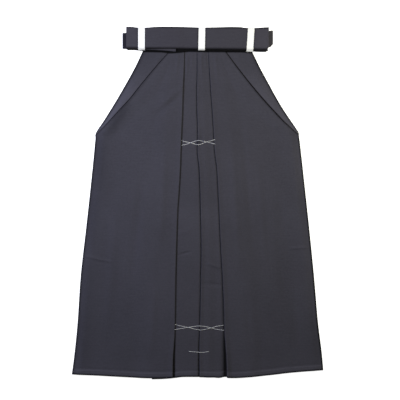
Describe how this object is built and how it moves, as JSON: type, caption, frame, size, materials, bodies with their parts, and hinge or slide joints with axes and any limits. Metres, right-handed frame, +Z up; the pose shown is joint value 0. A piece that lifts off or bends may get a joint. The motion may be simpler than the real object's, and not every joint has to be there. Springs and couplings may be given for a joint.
{
  "type": "hakama trousers",
  "caption": "Pleated hakama trousers laid flat with the front up, the long ties folded over the waist and held by plain paper bands.",
  "frame": {"origin": "middle of the laid-out garment's box, on the surface that it lies on", "axes": "+Y up the front from the hem to the waist, +X across it to the right as seen from above, +Z up from the surface"},
  "size_m": [0.7009, 0.9804, 0.0237],
  "materials": {
    "cloth": "matt fine plain weave, charcoal grey with a blue-violet cast",
    "tie_cloth": "the same cloth, doubled and pressed flat",
    "paper": "plain white paper, matt"
  },
  "bodies": {
    "root": {"front_left": "cloth", "front_right": "cloth", "centre_left": "cloth", "centre_right": "cloth", "back_left": "cloth", "back_right": "cloth", "gusset_left": "cloth", "gusset_right": "cloth", "front_strap": "tie_cloth", "back_strap": "tie_cloth", "paper_band_left": "paper", "paper_band_centre": "paper", "paper_band_right": "paper"}
  },
  "joints": []
}
